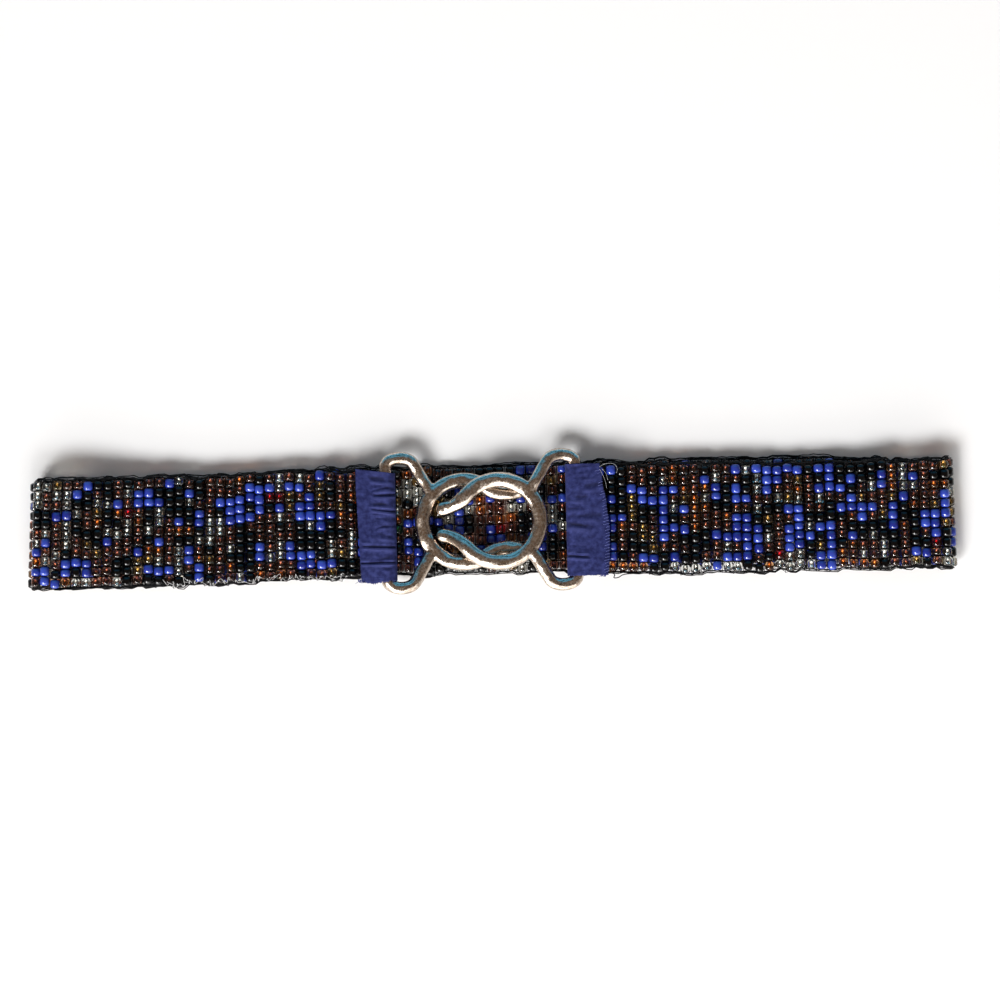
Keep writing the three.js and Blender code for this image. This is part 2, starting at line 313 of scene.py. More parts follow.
def new_tree(name, sockets):
    """A Geometry Nodes tree that takes and gives a mesh, with further named inputs."""
    tree = bpy.data.node_groups.new(name, "GeometryNodeTree")
    tree.interface.new_socket("Geometry", in_out="OUTPUT", socket_type="NodeSocketGeometry")
    tree.interface.new_socket("Geometry", in_out="INPUT", socket_type="NodeSocketGeometry")
    for label, kind in sockets.items():
        tree.interface.new_socket(label, in_out="INPUT", socket_type="NodeSocket" + kind)
    return tree, add(tree, "NodeGroupInput").outputs


def bead_tree():
    """Puts a bead at each point, with its hole along the point's own Z. Its wall's section is
    a rectangle with cut corners. The half of the wall towards the hole gets the lining."""
    sizes = dict.fromkeys(("Diameter", "Length", "Hole", "Round"), "Float")
    finishes = {"Glass": "Material", "Lining": "Material"}
    tree, given = new_tree("seed beads", {**sizes, "Sides": "Int", **finishes})
    math_node = "ShaderNodeMath"
    wall = add(tree, math_node, {0: given["Diameter"], 1: given["Hole"]}, operation="SUBTRACT")
    thick = add(tree, math_node, {0: wall, 1: 0.5}, operation="MULTIPLY")
    both = add(tree, math_node, {0: given["Diameter"], 1: given["Hole"]}, operation="ADD")
    radius = add(tree, math_node, {0: both, 1: 0.25}, operation="MULTIPLY")
    block = add(
        tree,
        "GeometryNodeCurvePrimitiveQuadrilateral",
        {"Width": thick, "Height": given["Length"]},
    )
    section = add(
        tree,
        "GeometryNodeFilletCurve",
        {"Curve": block, "Count": 1, "Radius": given["Round"]},
        mode="POLY",
    )
    ring = add(
        tree,
        "GeometryNodeCurvePrimitiveCircle",
        {"Resolution": given["Sides"], "Radius": radius},
    )
    bead = add(tree, "GeometryNodeCurveToMesh", {"Curve": ring, "Profile Curve": section})
    place = add(tree, "GeometryNodeInputPosition")
    flattened = add(tree, "ShaderNodeVectorMath", {0: place, 1: (1, 1, 0)}, operation="MULTIPLY")
    off_axis = add(tree, "ShaderNodeVectorMath", {0: flattened}, operation="LENGTH")
    inside = add(tree, math_node, {0: off_axis.outputs["Value"], 1: radius}, operation="LESS_THAN")
    walled = add(tree, "GeometryNodeSetMaterial", {"Geometry": bead, "Material": given["Glass"]})
    lined = add(
        tree,
        "GeometryNodeSetMaterial",
        {"Geometry": walled, "Selection": inside, "Material": given["Lining"]},
    )
    vector = {"data_type": "FLOAT_VECTOR"}
    turn = add(tree, "GeometryNodeInputNamedAttribute", {"Name": "turn"}, **vector)
    size = add(tree, "GeometryNodeInputNamedAttribute", {"Name": "size"}, **vector)
    placed = add(
        tree,
        "GeometryNodeInstanceOnPoints",
        {"Points": given["Geometry"], "Instance": lined, "Rotation": turn, "Scale": size},
    )
    real = add(tree, "GeometryNodeRealizeInstances", {"Geometry": placed})
    smooth = add(tree, "GeometryNodeSetShadeSmooth", {"Geometry": real})
    add(tree, "NodeGroupOutput", {"Geometry": smooth})
    return tree


def keep_modified(made):
    """Turns an object's mesh into what its modifiers make of it."""
    state = bpy.context.evaluated_depsgraph_get()
    shown = made.evaluated_get(state)
    plain = bpy.data.meshes.new_from_object(shown, preserve_all_data_layers=True, depsgraph=state)
    made.modifiers.clear()
    made.data = plain
    return made


def grow(name, mesh, tree, **inputs):
    """Runs a Geometry Nodes tree on a mesh, and keeps the result as a plain mesh object."""
    made = bpy.data.objects.new(name, mesh)
    scene.collection.objects.link(made)
    modifier = made.modifiers.new("tree", "NODES")
    modifier.node_group = tree
    for item in tree.interface.items_tree:
        if item.in_out == "INPUT" and item.name in inputs:
            modifier[item.identifier] = inputs[item.name]
    return keep_modified(made)


def srgb(code):
    """A linear colour from an sRGB hex value."""
    parts = [int(code[i : i + 2], 16) / 255 for i in (1, 3, 5)]
    return [p / 12.92 if p <= 0.04045 else ((p + 0.055) / 1.055) ** 2.4 for p in parts] + [1]


def new_material(name):
    """An empty material and its tree."""
    material = bpy.data.materials.new(name)
    material.use_nodes = True
    tree = material.node_tree
    tree.nodes.clear()
    return material, tree


# Soda glass, drawn, cut and fired until its edges are round, so it is glossy. Blue and black are
# coloured right through. The clear kinds have a bright metal lining in the hole, which the wall
# magnifies, and their sides look dark because the threads show through.
GLASS_IOR = 1.6
LIGHT_PASSED = 0.7
LINING_GRAIN = 0.8 * MM
SOLID_GLASS = {
    "blue": {"deep": "#1E2D86", "pale": "#3C52B4", "shine": 0.8},
    "black": {"deep": "#020203", "pale": "#060608", "shine": 0.45},
}
CLEAR_GLASS = {
    "garnet": {"wall": "#BC9688", "dark": "#5A3A34", "light": "#B48C74"},
    "crystal": {"wall": "#EDEDE8", "dark": "#6C6A66", "light": "#F0EEE8"},
    "amber": {"wall": "#DCAE82", "dark": "#7E502C", "light": "#D09658"},
    "gold": {"wall": "#DCC8A0", "dark": "#62502A", "light": "#C0A670"},
    "red": {"wall": "#D87070", "dark": "#8A1824", "light": "#B83440"},
    "green": {"wall": "#90C8A0", "dark": "#1E5034", "light": "#3E7854"},
}


def toned(tree, dark, light, grain=None):
    """A colour between two, by each bead's own tone, and by a fine grain if it has one."""
    tone = add(tree, "ShaderNodeAttribute", attribute_name="tone").outputs["Fac"]
    if grain:
        place = add(tree, "ShaderNodeTexCoord")
        flecks = add(
            tree,
            "ShaderNodeTexNoise",
            {"Vector": place.outputs["Object"], "Scale": 1 / grain, "Detail": 1.0},
        )
        spread = add(tree, "ShaderNodeMapRange", {0: flecks, 1: 0.35, 2: 0.65, 3: -0.6, 4: 0.6})
        tone = add(tree, "ShaderNodeMath", {0: tone, 1: spread}, operation="ADD").outputs[0]
    mix = add(tree, "ShaderNodeMix", {0: tone, 6: srgb(dark), 7: srgb(light)}, data_type="RGBA")
    return mix.outputs[2]


def solid_glass(name, deep, pale, shine):
    material, tree = new_material(f"opaque {name} bead glass")
    shader = add(
        tree,
        "ShaderNodeBsdfPrincipled",
        {
            "Base Color": toned(tree, deep, pale),
            "Roughness": 0.11,
            "IOR": GLASS_IOR,
            "Specular IOR Level": shine,
        },
    )
    add(tree, "ShaderNodeOutputMaterial", {"Surface": shader})
    return material


def clear_glass(name, wall):
    """The wall bends light, and lets some of the lamps' light through to its lining."""
    material, tree = new_material(f"clear {name} bead glass")
    bent = add(
        tree,
        "ShaderNodeBsdfPrincipled",
        {"Base Color": srgb(wall), "Roughness": 0.06, "IOR": GLASS_IOR, "Transmission Weight": 1.0},
    )
    passed = [LIGHT_PASSED * part for part in srgb(wall)[:3]]
    straight = add(tree, "ShaderNodeBsdfTransparent", {"Color": [*passed, 1]})
    path = add(tree, "ShaderNodeLightPath")
    either = add(tree, "ShaderNodeMixShader", {0: path.outputs["Is Shadow Ray"], 1: bent, 2: straight})
    add(tree, "ShaderNodeOutputMaterial", {"Surface": either})
    return material


def bead_lining(name, dark, light):
    material, tree = new_material(f"{name} bead lining")
    shader = add(
        tree,
        "ShaderNodeBsdfPrincipled",
        {"Base Color": toned(tree, dark, light, LINING_GRAIN), "Roughness": 0.24, "Metallic": 0.9},
    )
    add(tree, "ShaderNodeOutputMaterial", {"Surface": shader})
    return material


# A bead's width beside the usual one, and how far it slides, sinks in and tilts
WIDTH_SHARES = (0.91, 1.03)
BEAD_SLIDE = 0.06 * MM
BEAD_SINK = 0.05 * MM
BEAD_TILT = 0.03


def bead_points(name, chart):
    """A point for each bead of one colour, with its turn, its size and its tone."""
    places, turns, sizes = [], [], []
    for c, column in enumerate(COLUMNS):
        along, up = column["heading"]
        lean = read_table(SWAY, "lean", column["x"] / HALF_LENGTH)
        for r in np.flatnonzero(chart[c] == name):
            width = rng.uniform(*WIDTH_SHARES)
            inward = abs(rng.normal(0, BEAD_SINK)) + max(width - 1, 0) * BEAD_DIAMETER / 2
            slide = column["shift"] + rng.normal(0, BEAD_SLIDE)
            askew, tilt = rng.normal(0, BEAD_TILT, 2)
            # A tilted bead is held further in, so that no end of it stands out
            spot = on_band(column, column["beads"][r], inward + abs(tilt) * BEAD_LENGTH / 2)
            places.append(spot + slide * np.array([along, 0, up]))
            hole = Vector((lean + askew, 1, tilt)).normalized()
            side = Vector((-up, 0, along)).cross(hole).normalized()
            turn = Matrix((side, hole.cross(side), hole)).transposed()
            spin = Matrix.Rotation(rng.uniform(0, math.tau), 3, "Z")
            turns.append((turn @ spin).to_euler())
            sizes.append((width, width, column["lengths"][r] / BEAD_LENGTH))
    mesh = bpy.data.meshes.new(name)
    mesh.from_pydata(places, [], [])
    for label, values in (("turn", turns), ("size", sizes)):
        attribute = mesh.attributes.new(label, "FLOAT_VECTOR", "POINT")
        attribute.data.foreach_set("vector", np.array(values, np.float32).ravel())
    tone = mesh.attributes.new("tone", "FLOAT", "POINT")
    tone.data.foreach_set("value", rng.random(len(places)).astype(np.float32))
    return mesh


BEAD_TREE = bead_tree()
bead_chart = paint_mix()
for name in MIX:
    if name in SOLID_GLASS:
        glass = lining = solid_glass(name, **SOLID_GLASS[name])
    else:
        kind = CLEAR_GLASS[name]
        glass = clear_glass(name, kind["wall"])
        lining = bead_lining(name, kind["dark"], kind["light"])
    beads = grow(
        f"beads_{name}",
        bead_points(name, bead_chart),
        BEAD_TREE,
        Diameter=BEAD_DIAMETER,
        Length=BEAD_LENGTH,
        Hole=BEAD_HOLE,
        Round=BEAD_ROUND,
        Sides=BEAD_SIDES,
        Glass=glass,
        Lining=lining,
    )
    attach(beads, "root")
    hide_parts("beaded_band")

# Threads
# Black nylon beading thread. The long warps run between the rows of beads, and one weft goes
# twice through each column and turns round the outermost warps.
WARP_THICK = 0.5 * MM
WEFT_THICK = 0.4 * MM
EDGE_THICK = 0.46 * MM
THREAD_SIDES = 5

# How far a warp weaves off the middle, how far the two passes of the weft lie off it, and how far
# the weft stands out where it turns and where it runs back
WARP_WEAVE = 0.16 * MM
PASS_OFF = 0.22 * MM
TURN_OUT = (0.25 * MM, 0.7 * MM)
BACK_OUT = (0.3 * MM, 0.8 * MM)
BINDING_OFF = 0.1 * MM

# The outer warps at the near and the far edge: their side, their gap between the beads, how
# loosely they lie, and how far out each lies in millimetres
EDGE_WARPS = [
    {"side": -1, "gap": 0, "loose": 0.2 * MM, "out": (0.05, 0.3, 0.6)},
    {"side": 1, "gap": -1, "loose": 0.4 * MM, "out": (0.05, 0.3, 0.6, 0.9)},
]
EDGE_RISE = 0.5 * MM
EDGE_BULGE = 0.3 * MM
COLUMNS_HELD = 3


def strand_tree():
    """Makes a round strand along each line of a mesh."""
    tree, given = new_tree("strands", {"Thickness": "Float", "Sides": "Int", "Fibre": "Material"})
    line = add(tree, "GeometryNodeMeshToCurve", {"Mesh": given["Geometry"]})
    radius = add(tree, "ShaderNodeMath", {0: given["Thickness"], 1: 0.5}, operation="MULTIPLY")
    ring = add(
        tree,
        "GeometryNodeCurvePrimitiveCircle",
        {"Resolution": given["Sides"], "Radius": radius},
    )
    strand = add(
        tree,
        "GeometryNodeCurveToMesh",
        {"Curve": line, "Profile Curve": ring, "Fill Caps": True},
    )
    real = add(tree, "GeometryNodeRealizeInstances", {"Geometry": strand})
    smooth = add(tree, "GeometryNodeSetShadeSmooth", {"Geometry": real})
    done = add(tree, "GeometryNodeSetMaterial", {"Geometry": smooth, "Material": given["Fibre"]})
    add(tree, "NodeGroupOutput", {"Geometry": done})
    return tree


def line_mesh(name, lines):
    """A mesh of open lines, each a list of points."""
    points = np.vstack(lines)
    edges = []
    start = 0
    for line in lines:
        edges += [(start + k, start + k + 1) for k in range(len(line) - 1)]
        start += len(line)
    mesh = bpy.data.meshes.new(name)
    mesh.from_pydata(points.tolist(), edges, [])
    return mesh


def nylon(name, dark, light, twist):
    """Twisted filaments, which shine a little where they catch the light."""
    material, tree = new_material(name)
    place = add(tree, "ShaderNodeTexCoord")
    fibres = add(
        tree,
        "ShaderNodeTexNoise",
        {"Vector": place.outputs["Object"], "Scale": 1 / twist, "Detail": 2.0},
    )
    colour = add(tree, "ShaderNodeMix", {0: fibres, 6: srgb(dark), 7: srgb(light)}, data_type="RGBA")
    bump = add(tree, "ShaderNodeBump", {"Height": fibres, "Strength": 0.6, "Distance": 0.1 * MM})
    shader = add(
        tree,
        "ShaderNodeBsdfPrincipled",
        {"Base Color": colour.outputs[2], "Roughness": 0.5, "Specular IOR Level": 0.25, "Normal": bump},
    )
    add(tree, "ShaderNodeOutputMaterial", {"Surface": shader})
    return material


def between(first, second, y, inward):
    """A point of the band half way between two columns."""
    return (on_band(first, y, inward) + on_band(second, y, inward)) / 2


def warp_lines():
    """Twelve long threads, which weave a little over and under from column to column."""
    lines = []
    for gap in range(BEADS_ACROSS + 1):
        line = []
        for c, column in enumerate(COLUMNS):
            weave = WARP_WEAVE * (-1) ** (c + gap)
            y = column["gaps"][gap]
            if c:
                before = COLUMNS[c - 1]
                line.append(between(before, column, (y + before["gaps"][gap]) / 2, 0))
            line.append(on_band(column, y, weave))
        lines.append(np.array(line))
    return lines


def weft_lines():
    """One thread that passes twice through each column, turns at both edges, and runs back
    between the columns, where it binds the warps and fills the gap."""
    line = []
    for c, column in enumerate(COLUMNS):
        low, high = column["gaps"][0], column["gaps"][-1]
        turn = rng.uniform(*TURN_OUT)
        line += [
            on_band(column, low, PASS_OFF),
            on_band(column, high, PASS_OFF),
            on_band(column, high + turn, 0),
            on_band(column, high, -PASS_OFF),
            on_band(column, low, -PASS_OFF),
        ]
        if c + 1 < len(COLUMNS):
            out = rng.uniform(*BACK_OUT)
            line += [
                between(column, COLUMNS[c + 1], low - out, 0),
                between(column, COLUMNS[c + 1], high + out / 2, BINDING_OFF),
                between(column, COLUMNS[c + 1], low - out / 2, -BINDING_OFF),
            ]
    return [np.array(line)]


def wander(count, hold, spread):
    """Values that wander smoothly about 0, with a new aim at every few places."""
    aims = rng.normal(0, spread, count // hold + 3)
    at = np.arange(count) / hold
    low = at.astype(int)
    share = ease(at - low, 0, 1)
    return aims[low] * (1 - share) + aims[low + 1] * share


def edge_lines():
    """The outer warps, which are laid several together. They bulge outwards between the columns
    and twist over each other, and the far edge has more of them."""
    lines = []
    count = len(COLUMNS)
    for edge, out in ((edge, out) for edge in EDGE_WARPS for out in edge["out"]):
        reach = out * MM + wander(count, COLUMNS_HELD, edge["loose"])
        rise = wander(count, COLUMNS_HELD, EDGE_RISE)
        line = []
        for c, column in enumerate(COLUMNS):
            y = column["gaps"][edge["gap"]] + edge["side"] * max(reach[c], 0)
            if c:
                bulge = edge["side"] * rng.uniform(0, EDGE_BULGE)
                lift = (rise[c] + rise[c - 1]) / 2
                line.append(between(COLUMNS[c - 1], column, y + bulge, lift))
            line.append(on_band(column, y, rise[c]))
        lines.append(np.array(line))
    return lines


def lay_threads(name, lines, thick, fibre):
    """Strands along lines, as one object."""
    sizes = {"Thickness": thick, "Sides": THREAD_SIDES}
    return grow(name, line_mesh(name, lines), STRAND_TREE, **sizes, Fibre=fibre)


STRAND_TREE = strand_tree()
BLACK_NYLON = nylon("black nylon thread", "#030304", "#0C0C10", 0.25 * MM)
for name, lines, thick in (
    ("warp_threads", warp_lines(), WARP_THICK),
    ("weft_thread", weft_lines(), WEFT_THICK),
    ("edge_threads", edge_lines(), EDGE_THICK),
):
    threads = lay_threads(name, lines, thick, BLACK_NYLON)
    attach(threads, "root")
    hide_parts("beaded_band")

# Loose threads
# Ends of the black thread stand off the band in small loops, beside the tabs and at the left
# fold. Clear nylon is whipped over part of the near edge, as a repair, and shows by the right tab.
LOOP_THICK = 0.42 * MM
REPAIR_THICK = 0.22 * MM
STRAND_THICK = 0.13 * MM
REPAIR_FROM = -138 * MM
REPAIR_TO = -60 * MM

# The repair's stitches: how far they pass over the edge, how far they stray along it, and how
# high each quarter of a column's two turns lies over the band's middle
REPAIR_OVER = (0.1 * MM, 0.9 * MM)
REPAIR_STRAY = 0.7 * MM
REPAIR_LIFTS = (2.3 * MM, 0.6 * MM, 2.3 * MM, -0.5 * MM)

# The loops' points in millimetres
LOOPS = [
    [(-62, 22.3, 9.4), (-60.2, 24, 9.8), (-58.6, 24.6, 9.9), (-58, 23.6, 9.7), (-60, 22.6, 9.5)],
    [(43.6, 23, 11.4), (47, 24.5, 11), (51.6, 24.6, 10.8), (56, 23.8, 10.4), (60, 22.6, 9.4)],
    [(46.5, 22, 11.4), (49.6, 23.2, 11.6), (52.2, 22.8, 11.6), (53.2, 21.4, 11), (53.4, 19, 9.8)],
    [
        (49.6, -23, 8), (51.2, -23.7, 8), (50.9, -25.1, 7.4),
        (52.8, -25, 7.4), (55.3, -23.8, 7.8), (61.8, -23.4, 8),
    ],
    [
        (-191.4, 18.5, 12), (-189.2, 20.8, 12.6), (-185.8, 22, 13),
        (-180.8, 21.3, 13), (-175.8, 20, 12.4),
    ],
]
CLEAR_STRANDS = [
    [(45.6, 21.6, 11.4), (48.6, 22.9, 11.9), (52, 22.6, 11.8), (53.2, 20.6, 11.6), (52.8, 18.8, 11.2)],
    [(45.8, 20.6, 11.5), (47, 18.4, 11.9), (48.2, 15.2, 11.8), (48.6, 12.6, 11.3)],
    [(46.8, 20.8, 11.5), (48.4, 18.8, 11.9), (49.2, 16, 11.7)],
]


def smooth_line(points, steps=8):
    """A curve through a few points."""
    spots = np.array(points)
    before = np.vstack([2 * spots[0] - spots[1], spots, 2 * spots[-1] - spots[-2]])
    line = []
    for a, b, c, d in zip(before, before[1:], before[2:], before[3:]):
        for t in np.arange(steps) / steps:
            bend = (2 * a - 5 * b + 4 * c - d) * t**2 + (3 * b - a - 3 * c + d) * t**3
            line.append((2 * b + (c - a) * t + bend) / 2)
    return np.array([*line, spots[-1]])


def repair_lines():
    """A spiral of clear thread over the near edge of the left front stretch."""
    near = [c for c in COLUMNS if c["layer"] == "front" and REPAIR_FROM < c["x"] < REPAIR_TO]
    points = []
    for column in near[::-1]:
        low = column["gaps"][0]
        for k, lift in enumerate(REPAIR_LIFTS):
            side = rng.uniform(*REPAIR_OVER)
            spot = on_band(column, low - side if k % 2 else low + 3 * side, 0)
            shift = (k / 4 - 0.4) * COLUMN_PITCH + rng.normal(0, REPAIR_STRAY)
            points.append(spot + [shift, 0, lift])
    return [smooth_line(points, 4)]


CLEAR_NYLON = nylon("clear nylon thread", "#8A8A8A", "#F2F2F2", 0.6 * MM)
loops = [smooth_line(np.array(points) * MM) for points in LOOPS]
strands = [smooth_line(np.array(points) * MM) for points in CLEAR_STRANDS]
for name, lines, thick, fibre in (
    ("loose_loops", loops, LOOP_THICK, BLACK_NYLON),
    ("repair_thread", repair_lines(), REPAIR_THICK, CLEAR_NYLON),
    ("clear_strands", strands, STRAND_THICK, CLEAR_NYLON),
):
    threads = lay_threads(name, lines, thick, fibre)
    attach(threads, "root")
    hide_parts("beaded_band")

# Clasp
# Two castings in zinc alloy, polished and nickel plated. Each is a ring with two horns, two arms,
# two ears and a bar. The hook half lies over, and its horns dip into the catch half's ring.
CLASP_MIDDLE = -4.3 * MM
RING_RADIUS = 17.3 * MM
RING_WIDTH = 6.6 * MM
HORN_WIDTH = 6.1 * MM
ARM_ANGLE = math.radians(42)
EAR_REACH = 5.9 * MM
EAR_RISE = 3.5 * MM
EAR_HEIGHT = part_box("clasp_catch_half")[1].y - ARM_WIDTH / 2
CATCH_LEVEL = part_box("clasp_catch_half")[0].z + CAST_HEIGHT / 2
HOOK_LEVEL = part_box("clasp_hook_half")[1].z - CAST_HEIGHT / 2
TIP_LIFT = 0.55 * MM
TIP_TURN = np.radians(np.linspace(0, 84, 8))[1:]
CAST_SIDES = 28
CAST_STEP = 0.9 * MM
BAR_STEPS = 24
ARM_STEPS = 20
CAST_VOXEL = 0.3 * MM
DENT_SIZE = 8 * MM
WEAR_SIZE = 0.9 * MM

HALVES = {
    "clasp_catch_half": {
        "end": "left",
        "leave": math.radians(54),
        "radius": 13.9 * MM,
        "sweep": math.radians(70),
        "level": CATCH_LEVEL,
        "dip": 0,
    },
    "clasp_hook_half": {
        "end": "right",
        "leave": math.radians(40),
        "radius": 15.5 * MM,
        "sweep": math.radians(55),
        "level": HOOK_LEVEL,
        "dip": HOOK_LEVEL - CATCH_LEVEL - TIP_LIFT,
    },
}


def arc(middle, radii, start, stop, step):
    """Points along an arc of an ellipse, about a step apart."""
    count = max(round(abs(stop - start) * max(radii) / step), 2)
    angles = np.linspace(start, stop, count + 1)
    return np.column_stack(
        [middle[0] + radii[0] * np.cos(angles), middle[1] + radii[1] * np.sin(angles)]
    )


def both_sides(points, *others):
    """Mirrors a line in the clasp's middle line, from the upper end to the lower."""
    mirrored = points[1:] * [1, -1, 1]
    return np.vstack([points[::-1], mirrored]), *(
        np.concatenate([values[::-1], values[1:]]) for values in others
    )


def ring_and_horns(half):
    """Centre line, widths and end scale of a ring and its horns, about the ring's centre."""
    leave = math.pi - half["leave"]
    reach = RING_RADIUS + half["radius"]
    ring = arc((0, 0), (RING_RADIUS, RING_RADIUS), 0, leave, CAST_STEP)
    middle = (reach * math.cos(leave), reach * math.sin(leave))
    length = half["radius"] * half["sweep"]
    tip = HORN_WIDTH / 2 / length
    body = np.linspace(0, 1 - tip, round(length * (1 - tip) / CAST_STEP) + 1)[1:]
    share = np.concatenate([body, 1 - tip + tip * np.sin(TIP_TURN)])
    scale = np.concatenate([np.ones(len(body)), np.cos(TIP_TURN)])
    angles = -half["leave"] - half["sweep"] * share
    curl = np.column_stack([np.cos(angles), np.sin(angles)]) * half["radius"] + middle
    share = np.concatenate([np.zeros(len(ring)), share])
    flat = np.vstack([ring, curl])
    points = np.column_stack([flat, -half["dip"] * ease(share, 0, 0.85)])
    width = RING_WIDTH + (HORN_WIDTH - RING_WIDTH) * ease(share, 0, 0.5)
    return both_sides(points, width, np.concatenate([np.ones(len(ring)), scale]))


def bar_and_arms(half, bar):
    """Centre line, widths and scale of a bar with its ears and arms, about the ring's centre."""
    ear = np.array([bar - EAR_REACH, EAR_HEIGHT - EAR_RISE])
    foot = RING_RADIUS * np.array([math.cos(ARM_ANGLE), math.sin(ARM_ANGLE)])
    seen = (foot - ear) / [EAR_REACH, EAR_RISE]
    touch = math.atan2(seen[1], seen[0]) % (math.tau) - math.acos(1 / np.linalg.norm(seen))
    straight = np.linspace([bar, 0], [bar, ear[1]], BAR_STEPS, endpoint=False)
    bend = arc(ear, (EAR_REACH, EAR_RISE), 0, touch, CAST_STEP / 2)
    arm = np.linspace(bend[-1], foot, ARM_STEPS)[1:]
    flat = np.vstack([straight, bend, arm])
    ring_edge = RING_RADIUS + RING_WIDTH / 2
    share = ease(flat[:, 0], ring_edge * math.cos(ARM_ANGLE), bar - EAR_REACH / 2)
    points = np.column_stack([flat, (TAB_LEVEL - half["level"]) * share])
    return both_sides(points, np.full(len(flat), ARM_WIDTH), np.ones(len(flat)))


def add_rod(form, points, widths, scales):
    """Adds a cast rod of oval section along a line."""
    ahead = np.gradient(points, axis=0)
    ahead /= np.linalg.norm(ahead, axis=1)[:, None]
    side = np.cross([0, 0, 1], ahead)
    side /= np.linalg.norm(side, axis=1)[:, None]
    top = np.cross(ahead, side)
    angles = math.tau * np.arange(CAST_SIDES) / CAST_SIDES
    rings = []
    for k, middle in enumerate(points):
        reach = scales[k] * widths[k] / 2 * np.outer(np.cos(angles), side[k])
        rise = scales[k] * CAST_HEIGHT / 2 * np.outer(np.sin(angles), top[k])
        rings.append([form.verts.new(at) for at in middle + reach + rise])
    for first, second in zip(rings, rings[1:]):
        for k in range(CAST_SIDES):
            after = (k + 1) % CAST_SIDES
            form.faces.new((first[k], first[after], second[after], second[k]))
    form.faces.new(rings[0][::-1])
    form.faces.new(rings[-1])


def cast_half(name, half):
    """One half, fused from its rods, with the soft hollows that a polished casting has."""
    end = ENDS[half["end"]]
    ring_centre = CLASP_MIDDLE + end["way"] * RING_SPACING / 2
    bar = abs(end["way"] * end["bar"] - ring_centre)
    form = bmesh.new()
    add_rod(form, *ring_and_horns(half))
    add_rod(form, *bar_and_arms(half, bar))
    turn = Matrix.Rotation(math.pi if end["way"] < 0 else 0, 4, "Z")
    place = Matrix.Translation((ring_centre, 0, half["level"])) @ turn
    bmesh.ops.transform(form, matrix=place, verts=form.verts)
    bmesh.ops.recalc_face_normals(form, faces=form.faces)
    mesh = bpy.data.meshes.new(name)
    form.to_mesh(mesh)
    form.free()
    made = bpy.data.objects.new(name, mesh)
    scene.collection.objects.link(made)
    fuse = made.modifiers.new("fuse", "REMESH")
    fuse.mode = "VOXEL"
    fuse.voxel_size = CAST_VOXEL
    fuse.use_smooth_shade = True
    polish = made.modifiers.new("polish", "SMOOTH")
    polish.factor = 0.5
    polish.iterations = 9
    return keep_modified(made)


def nickel():
    """Nickel plate over a polished casting: a warm grey metal, dulled by handling, with faint
    dents of the casting and fine scratches."""
    material, tree = new_material("polished nickel plate")
    place = add(tree, "ShaderNodeTexCoord")
    place = place.outputs["Object"]
    dent = {"Vector": place, "Scale": 1 / DENT_SIZE, "Detail": 1.0}
    fine = {"Vector": place, "Scale": 1 / WEAR_SIZE, "Detail": 5.0}
    dents, wear = (add(tree, "ShaderNodeTexNoise", noise) for noise in (dent, fine))
    rough = add(tree, "ShaderNodeMapRange", {0: wear, 1: 0.35, 2: 0.7, 3: 0.18, 4: 0.32})
    stain = add(tree, "ShaderNodeMapRange", {0: wear, 1: 0.3, 2: 0.7, 3: 0, 4: 1})
    colour = add(
        tree,
        "ShaderNodeMix",
        {0: stain, 6: srgb("#B2A292"), 7: srgb("#D6CCC2")},
        data_type="RGBA",
    )
    low = add(tree, "ShaderNodeBump", {"Height": dents, "Strength": 1.0, "Distance": 1.6 * MM})
    scratches = {"Height": wear, "Strength": 0.1, "Distance": 0.06 * MM, "Normal": low}
    fine = add(tree, "ShaderNodeBump", scratches)
    shader = add(
        tree,
        "ShaderNodeBsdfPrincipled",
        {"Base Color": colour.outputs[2], "Metallic": 1.0, "Roughness": rough, "Normal": fine},
    )
    add(tree, "ShaderNodeOutputMaterial", {"Surface": shader})
    return material


# The rings' centres lie as far apart as lets the hook's tips stop short of the other ring
TIP_CLEARANCE = 2.3 * MM
hook = HALVES["clasp_hook_half"]
tip_reach = (RING_RADIUS + hook["radius"]) * math.cos(hook["leave"])
tip_reach -= hook["radius"] * math.cos(hook["leave"] + hook["sweep"])
RING_SPACING = tip_reach + TIP_CLEARANCE - (RING_RADIUS - RING_WIDTH / 2)

NICKEL = nickel()
for node, half in HALVES.items():
    casting = cast_half(node.replace("clasp", "cast"), half)
    casting.data.materials.clear()
    casting.data.materials.append(NICKEL)
    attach(casting, "root")
    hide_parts(node)

# Cloth tabs
# Strips of fine blue cotton, folded round the clasp's bars and sewn to the band's ends. The cloth
# is gathered in small creases along the belt, and its cut edges fray.
CLOTH_THICK = 0.7 * MM
TAB_WIDTH = 46.8 * MM
LEAF_HEIGHT = BEAD_DIAMETER / 2 + 0.3 * MM + CLOTH_SPACE
GATHER_HEIGHT = 0.5 * MM

